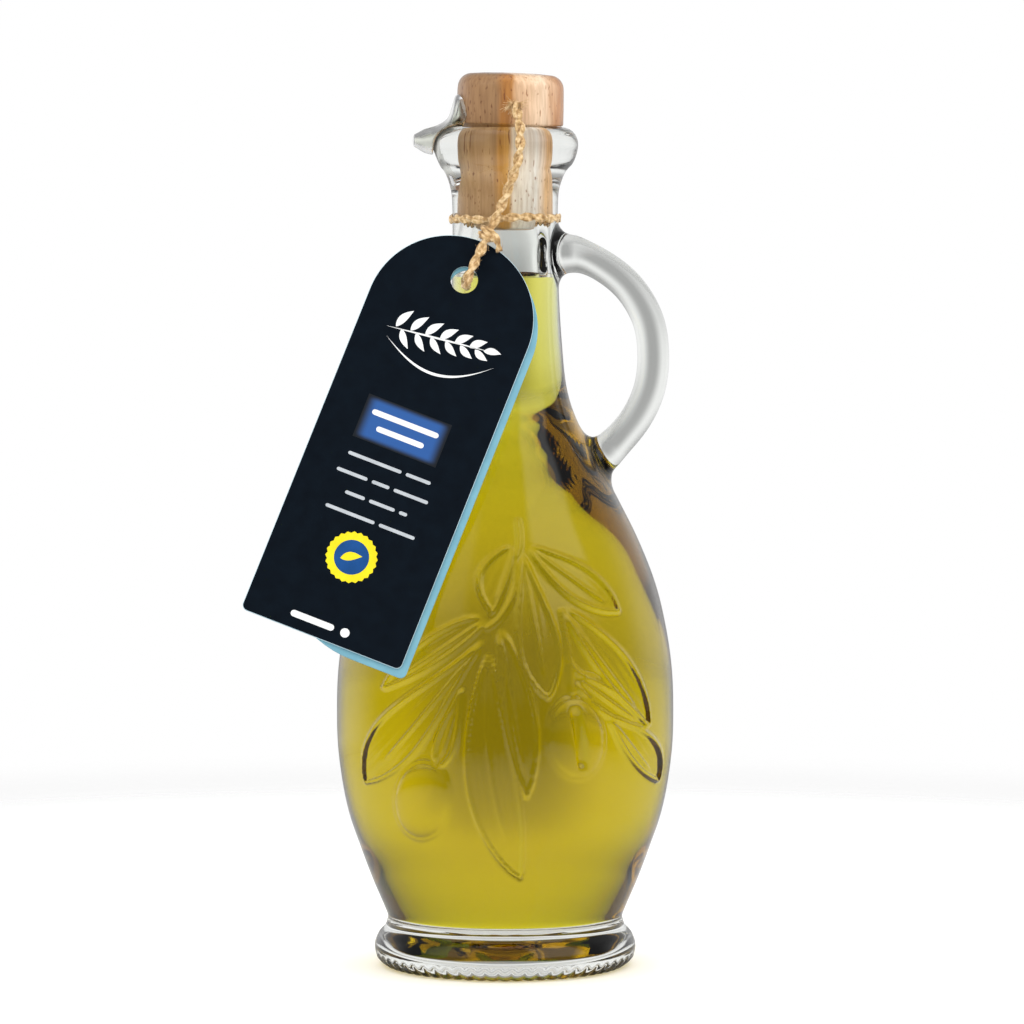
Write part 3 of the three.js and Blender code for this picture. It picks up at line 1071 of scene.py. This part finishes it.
def stopper_head():
    """The turned head: rounded on top, with a recess under its edge that meets the rim."""
    round_r = 3.6
    under = 0.9
    side = [(0, -under), (12.4, -under), (12.4, 0), (HEAD_R - 0.6, 0), (HEAD_R - 0.15, 0.15)]
    side += [(HEAD_R, 0.6), (HEAD_R - 0.02, 4), (HEAD_R - 0.15, HEAD_TALL - round_r - 0.8)]
    for degrees in range(0, 91, 9):
        turn = math.radians(degrees)
        r = HEAD_R - 0.2 - round_r * (1 - math.cos(turn))
        side.append((r, HEAD_TALL - round_r * (1 - math.sin(turn)) - 0.35))
    side += [(7, HEAD_TALL - 0.1), (3, HEAD_TALL), (0, HEAD_TALL)]
    varnished = wood_material("varnished_wood", HEAD_TONES_AND_HIGHLIGHT, 0.42, 0.4)
    head = turned("stopper_wood_head", side, 96, varnished)
    low = RIM_Z + 0.55 - STOPPER_PIVOT.z
    head.data.transform(Matrix.Translation((HEAD_ASIDE * 0.7 * MM, 0, low * MM)))
    pivot = Matrix.Translation(STOPPER_PIVOT * MM)
    head.data.transform(pivot @ Matrix.Rotation(STOPPER_TILT, 4, "Y"))
    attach(head, "root")
    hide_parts("stopper_head")


def stopper_shank():
    """The shank, pressed into the mouth so that it reaches just into the wall."""
    r = MOUTH_R + 0.06
    low, high = SHANK_FOOT_Z, RIM_Z + 0.2
    side = [(0, low), (r - 1.3, low), (r - 0.7, low + 0.35), (r - 0.45, low + 1)]
    side += [(r - 0.1, low + 2.2), (r, low + 3), (r, high), (0, high)]
    plain = wood_material("plain_wood", SHANK_TONES_AND_HIGHLIGHT, 0.6, 0.2)
    shank = turned("stopper_wood_shank", side, 96, plain)
    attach(shank, "root")
    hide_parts("stopper_shank")


stopper_head()
stopper_shank()

# ---- The tag ----


def leaf_outline(left_corner, inset):
    """The card's outline about the middle of its hole: a round top and a foot with round corners."""
    half = TAG_HALF - inset
    crown = TAG_TOP - TAG_HALF
    foot = TAG_FOOT + inset
    line = []
    for k in range(65):
        turn = math.pi * k / 64
        line.append((half * math.cos(turn), crown + half * math.sin(turn)))
    for side, corner, start in ((-1, left_corner - inset, 180), (1, TAG_CORNER_R - inset, 270)):
        middle = side * (half - corner)
        for degrees in range(start, start + 91, 5):
            turn = math.radians(degrees)
            line.append((middle + corner * math.cos(turn), foot + corner + corner * math.sin(turn)))
    return np.array(line)


def card(name, slip, low, left_corner, hole_r, face, edge):
    """One leaf of the tag, with softly rounded edges: faces in one material, the cut edge in another."""
    soft = 0.12
    steps = [(soft, 0), (0, soft), (0, TAG_THICK - soft), (soft, TAG_THICK)]
    points, rings = [], []
    for inset, up in steps:
        line = leaf_outline(left_corner, inset)
        rings.append(list(range(len(points), len(points) + len(line))))
        points += [(x + slip, y - slip, low + up) for x, y in line]
    faces = [*rings_to_faces(rings), rings[0][::-1], rings[-1]]
    piece = make(name, points, faces, face, edge, place=TAG_PLACE)
    hole = turned("hole", [(0, -5), (hole_r, -5), (hole_r, 5), (0, 5)], 64, edge)
    hole.data.materials.clear()
    for finish in (face, edge):
        hole.data.materials.append(finish)
    for polygon in hole.data.polygons:
        polygon.material_index = 1
    in_metres = TAG_PLACE.copy()
    in_metres.translation *= MM
    shift = Matrix.Translation((slip * MM, -slip * MM, low * MM))
    hole.data.transform(in_metres @ shift)
    combine(piece, hole, "DIFFERENCE")
    across = in_metres.to_3x3() @ Vector((0, 0, 1))
    shade(piece.data, False)
    for polygon in piece.data.polygons:
        flat = abs(polygon.normal @ across) > 0.9
        polygon.material_index = 0 if flat else 1
    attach(piece, "root")
    return piece


NAVY = (0.0022, 0.0068, 0.0135)
NAVY_SHADE = (0.0016, 0.0048, 0.01)
SKY = (0.2, 0.42, 0.51)
SKY_SHADE = (0.17, 0.37, 0.46)
WHITE = (0.86, 0.87, 0.86)

navy_card = paper_material("navy_card", NAVY, NAVY_SHADE, 0.55)
sky_card = paper_material("sky_card", SKY, SKY_SHADE, 0.65)
pale_core = paper_material("pale_card_core", (0.5, 0.66, 0.72), (0.42, 0.58, 0.66), 0.8)

rear = card("tag_card_rear", TAG_SLIP, 0, REAR_CORNER_R, TAG_HOLE_R + 1.6, sky_card, sky_card)
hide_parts("tag_rear_leaf")
front = card("tag_card_front", 0, FRONT_LEAF_Z, TAG_CORNER_R, TAG_HOLE_R, navy_card, pale_core)
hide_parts("tag_front_leaf")

INK_THICK = 0.03


def ink(name, shapes, *materials):
    """Printed shapes on the front card, each an outline about the middle of the hole, as thin layers."""
    low = FRONT_LEAF_Z + TAG_THICK - 0.01
    points, faces = [], []
    for shape in shapes:
        count = len(shape)
        start = len(points)
        for up in (0, INK_THICK):
            points += [(x, y, low + up) for x, y in shape]
        bottom = list(range(start, start + count))
        top = [k + count for k in bottom]
        faces += [*rings_to_faces([bottom, top]), bottom[::-1], top]
    piece = make(name, points, faces, *materials, place=TAG_PLACE)
    shade(piece.data, False)
    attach(piece, "root")
    return piece


def disc(x, y, radius):
    turns = [2 * math.pi * k / 48 for k in range(48)]
    return [(x + radius * math.cos(turn), y + radius * math.sin(turn)) for turn in turns]


def bar(left, right, y, half):
    """A bar with round ends."""
    line = []
    for cx, start in ((right - half, -90), (left + half, 90)):
        for degrees in range(start, start + 181, 30):
            turn = math.radians(degrees)
            line.append((cx + half * math.cos(turn), y + half * math.sin(turn)))
    return line


def blade(x, y, length, half, tilt, curl=0.25):
    """A small printed leaf from its foot at (x, y)."""
    turn = math.radians(tilt)
    upper, lower = [], []
    for k in range(17):
        t = k / 16
        wide = half * math.sin(math.pi * t**0.8)
        bow = curl * length * t * (1 - t)
        for side, edge in ((1, upper), (-1, lower)):
            dx, dy = length * t, bow + side * wide
            over = x + dx * math.cos(turn) - dy * math.sin(turn)
            up = y + dx * math.sin(turn) + dy * math.cos(turn)
            edge.append((over, up))
    return upper[:-1] + lower[:0:-1]


MARK_X, MARK_Y = -0.4, -16.5
FIELD_Y = -42.3
LINES_Y = -52.5
LINE_GAP = 4.9
SEAL_Y = -77.5
VOLUME_Y = -96.2


def sprig():
    """A generic olive sprig: a swept stem with pairs of leaves."""
    shapes = []
    for k in range(6):
        x = MARK_X - 11.5 + 3.9 * k
        y = MARK_Y - 1.2 + 0.35 * k
        shapes.append(blade(x, y, 6.2 - 0.25 * k, 1.0, 62 - 5 * k))
        shapes.append(blade(x + 1.6, y, 5.6 - 0.25 * k, 0.9, -52 + 6 * k, -0.25))
    shapes.append(blade(MARK_X + 11.8, MARK_Y + 1, 4.6, 0.9, 10))
    upper, lower = [], []
    for t in np.linspace(0, 1, 24):
        x = MARK_X - 14 + 28 * t
        y = MARK_Y - 1.9 + 3.4 * t + 0.28 * math.sin(math.pi * t)
        upper.append((x, y))
        lower.append((x, y - 0.5 * math.sin(math.pi * t)))
    shapes.append(upper[::-1] + lower[1:-1])
    return shapes


def swoosh():
    upper, lower = [], []
    for t in np.linspace(0, 1, 40):
        x = MARK_X - 13 + 29 * t
        y = MARK_Y - 4.2 - 6.4 * math.sin(math.pi * t * 0.82) + 5.6 * t**2
        upper.append((x, y))
        lower.append((x, y - 0.7 * math.sin(math.pi * t)))
    return [upper[::-1] + lower[1:-1]]


def text_bars():
    """Short bars in four rows, in place of small print."""
    # The left end, the right end and the gaps of each row.
    rows = [
        (-11.2, 11.4, (4,)),
        (-12.4, 12.6, (-3.4, 2.6)),
        (-8.2, 8.8, (-2.2, 6)),
        (-11.6, 12.8, (2.4,)),
    ]
    shapes = []
    for k, (left, right, gaps) in enumerate(rows):
        y = LINES_Y - LINE_GAP * k
        edges = [left]
        for gap in gaps:
            edges += [gap - 0.6, gap + 0.6]
        edges.append(right)
        for a, b in zip(edges[::2], edges[1::2]):
            shapes.append(bar(a, b, y, 0.45))
    return shapes


def blue_field():
    """A blue oblong that fades into the navy card at its edges."""
    made, tree, shader = material("blue_field", Roughness=0.55)
    place = add(tree, "ShaderNodeAttribute", attribute_name="across").outputs["Vector"]
    split = add(tree, "ShaderNodeSeparateXYZ", {"Vector": place})
    insides = [
        eased(tree, maths(tree, "ABSOLUTE", split.outputs[axis]), 1.0, 0.72) for axis in "XY"
    ]
    tone = ramp(tree, maths(tree, "MULTIPLY", *insides), (0.0, NAVY), (1.0, (0.004, 0.085, 0.33)))
    tree.links.new(tone, shader.inputs["Base Color"])
    half_wide, half_high, count = 11.4, 5.9, 24
    low = FRONT_LEAF_Z + TAG_THICK - 0.01
    points, across = [], []
    for up in (0, INK_THICK * 0.6):
        for j in range(count + 1):
            for i in range(count + 1):
                u, v = 2 * i / count - 1, 2 * j / count - 1
                points.append((MARK_X + half_wide * u, FIELD_Y + half_high * v, low + up))
                across.append((u, v, 0))
    row = count + 1
    layer = row * row
    faces = []
    for j in range(count):
        for i in range(count):
            a = j * row + i
            faces.append((a, a + row, a + row + 1, a + 1))
            faces.append(tuple(layer + k for k in (a, a + 1, a + row + 1, a + row)))
    border = list(range(row)) + [k * row + count for k in range(1, row)]
    border += [count * row + i for i in range(count - 1, -1, -1)]
    border += [k * row for k in range(count - 1, 0, -1)]
    for a, b in zip(border, border[1:] + border[:1]):
        faces.append((a, b, b + layer, a + layer))
    piece = make("tag_print_blue", points, faces, made, place=TAG_PLACE)
    attribute = piece.data.attributes.new("across", "FLOAT_VECTOR", "POINT")
    attribute.data.foreach_set("vector", np.array(across, float).ravel())
    shade(piece.data, False)
    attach(piece, "root")


def raised(piece, height):
    """Lifts a printed layer off the card, over the layer that it overlaps."""
    offset = TAG_PLACE.to_3x3() @ Vector((0, 0, height * MM))
    piece.data.transform(Matrix.Translation(offset))


def seal_outline():
    """A disc with small notches."""
    notches = 24
    line = []
    for k in range(notches * 4):
        turn = 2 * math.pi * k / (notches * 4)
        r = 6.5 + 0.22 * math.cos(notches * turn)
        line.append((MARK_X + r * math.cos(turn), SEAL_Y + r * math.sin(turn)))
    return line


def print_on_tag():
    white = paper_material("white_ink", WHITE, (0.74, 0.75, 0.75), 0.6)
    grey = paper_material("grey_ink", (0.5, 0.53, 0.56), (0.4, 0.43, 0.46), 0.6)
    yellow = paper_material("yellow_ink", (0.85, 0.72, 0.02), (0.75, 0.62, 0.015), 0.6)
    blue = paper_material("blue_ink", (0.012, 0.075, 0.26), (0.009, 0.06, 0.2), 0.6)
    blue_field()
    over_field = [bar(-9.4, 8.8, FIELD_Y + 1.9, 0.72), bar(-6.8, 6.2, FIELD_Y - 1.9, 0.72)]
    volume = [bar(-9.6, 2.2, VOLUME_Y, 0.85), disc(5.2, VOLUME_Y, 1.2)]
    ink("tag_print_white", [*sprig(), *swoosh()], white)
    raised(ink("tag_print_bars", [*over_field, *volume], white), 0.02)
    ink("tag_print_lines", text_bars(), grey)
    ink("tag_print_seal", [seal_outline()], yellow)
    raised(ink("tag_print_disc", [disc(MARK_X, SEAL_Y, 4.5)], blue), 0.02)
    leaf = blade(MARK_X - 2.6, SEAL_Y - 1.2, 5.6, 1.1, 24)
    raised(ink("tag_print_leaf", [leaf], yellow), 0.04)


print_on_tag()

# ---- The floor and the light ----

FLOOR_R = 520
FLOOR_FADES_FROM, FLOOR_FADES_TO = 0.16, 0.5  # in metres from the middle
FLOOR_SEEN = 0.97
FLOOR_IN_GLASS = 0.5

# Brightness of the studio. The camera itself sees white wherever it looks past the bottle.
BACKDROP = 0.94  # behind the bottle, which the glass and the oil show
ABOVE_BACKDROP = 0.34
BELOW_BEHIND = 0.72
STRIP = 0.42  # a darker strip straight behind the bottle
SIDES = 0.26
BELOW = 0.1
OVERHEAD = 0.6
AMBIENT = 1.32  # what matt surfaces are lit by, on top of the studio
SOFT_BOXES = [
    # azimuth from, to, elevation from, to, soft edge (degrees), strength
    (28, 78, 18, 60, 5, 1.0),
    (-80, -32, 18, 56, 6, 0.45),
]


def add_floor():
    """A pale floor that fades out at its edge, and that glass sees dimmer than the camera does."""
    made, tree, shader = material("pale_floor", Roughness=0.9, Specular_IOR_Level=0.0)
    place = add(tree, "ShaderNodeTexCoord").outputs["Object"]
    far = add(tree, "ShaderNodeVectorMath", {0: place}, operation="LENGTH").outputs["Value"]
    fade = eased(tree, far, FLOOR_FADES_FROM, FLOOR_FADES_TO, 1.0, 0.0)
    tree.links.new(fade, shader.inputs["Alpha"])
    direct = add(tree, "ShaderNodeLightPath").outputs["Is Camera Ray"]
    in_glass, seen = ((grey, grey, grey, 1) for grey in (FLOOR_IN_GLASS, FLOOR_SEEN))
    tone = mixed_colors(tree, direct, in_glass, seen)
    tree.links.new(tone, shader.inputs["Base Color"])
    turns = np.linspace(0, 2 * math.pi, 97)[:-1]
    points = [(FLOOR_R * math.cos(a), FLOOR_R * math.sin(a), -0.02) for a in turns]
    floor = make("floor", points, [tuple(range(len(points)))], made)


def band(tree, value, low, high, soft):
    """1 between low and high, 0 outside, with soft edges; all in degrees, and value in radians."""
    low_end = (math.radians(low - soft), math.radians(low + soft))
    high_end = (math.radians(high - soft), math.radians(high + soft))
    rise = eased(tree, value, *low_end)
    fall = eased(tree, value, *high_end, 1.0, 0.0)
    return maths(tree, "MULTIPLY", rise, fall)


def sweep(tree, angle, low, high, start=0.0, end=1.0):
    """eased, between two angles in degrees."""
    return eased(tree, angle, math.radians(low), math.radians(high), start, end)


def backdrop(tree, size, lift):
    """The brightness behind the bottle: full at its height, less above and below, least in the strip."""
    rise = sweep(tree, lift, -16, 2, BELOW_BEHIND / BACKDROP, 1.0)
    fall = sweep(tree, lift, 8, 34, BACKDROP, ABOVE_BACKDROP)
    wall = maths(tree, "MULTIPLY", rise, fall)
    strip = maths(tree, "MULTIPLY", sweep(tree, size, 152, 175), band(tree, lift, -26, 6, 9))
    return add(tree, "ShaderNodeMix", {"Factor": strip, "A": wall, "B": STRIP}).outputs["Result"]


def add_light():
    """Raised soft boxes to the left and right, a grey backdrop, and white where the camera looks past."""
    world = bpy.data.worlds.new("studio")
    world.use_nodes = True
    tree = world.node_tree
    tree.nodes.clear()
    place = add(tree, "ShaderNodeTexCoord").outputs["Generated"]
    split = add(tree, "ShaderNodeSeparateXYZ", {"Vector": place})
    x, y, z = (split.outputs[k] for k in "XYZ")
    turn = maths(tree, "ARCTAN2", x, maths(tree, "MULTIPLY", y, -1.0))
    lift = maths(tree, "ARCSINE", z)
    size = maths(tree, "ABSOLUTE", turn)
    behind = sweep(tree, size, 92, 122)
    front = sweep(tree, lift, -4, 2, BELOW, SIDES)
    walls = {"Factor": behind, "A": front, "B": backdrop(tree, size, lift)}
    total = add(tree, "ShaderNodeMix", walls).outputs["Result"]
    for from_turn, to_turn, from_lift, to_lift, soft, strength in SOFT_BOXES:
        wide = band(tree, turn, from_turn, to_turn, soft)
        tall = band(tree, lift, from_lift, to_lift, soft)
        total = maths(tree, "MULTIPLY_ADD", maths(tree, "MULTIPLY", wide, tall), strength, total)
    total = maths(tree, "ADD", total, sweep(tree, lift, 58, 78, 0.0, OVERHEAD))
    path = add(tree, "ShaderNodeLightPath")
    matt = maths(tree, "GREATER_THAN", path.outputs["Diffuse Depth"], 0.5)
    lit = maths(tree, "MULTIPLY_ADD", matt, AMBIENT, total)
    shown = {"Factor": path.outputs["Is Camera Ray"], "A": lit, "B": 1.0}
    mixed = add(tree, "ShaderNodeMix", shown).outputs["Result"]
    shader = add(tree, "ShaderNodeBackground", {"Color": mixed})
    output = add(tree, "ShaderNodeOutputWorld")
    tree.links.new(shader.outputs[0], output.inputs["Surface"])
    bpy.context.scene.world = world


def set_view():
    scene = bpy.context.scene
    scene.view_settings.view_transform = "Standard"
    scene.view_settings.look = "None"
    scene.cycles.max_bounces = 24
    scene.cycles.transmission_bounces = 20
    scene.cycles.transparent_max_bounces = 16


add_floor()
add_light()
set_view()
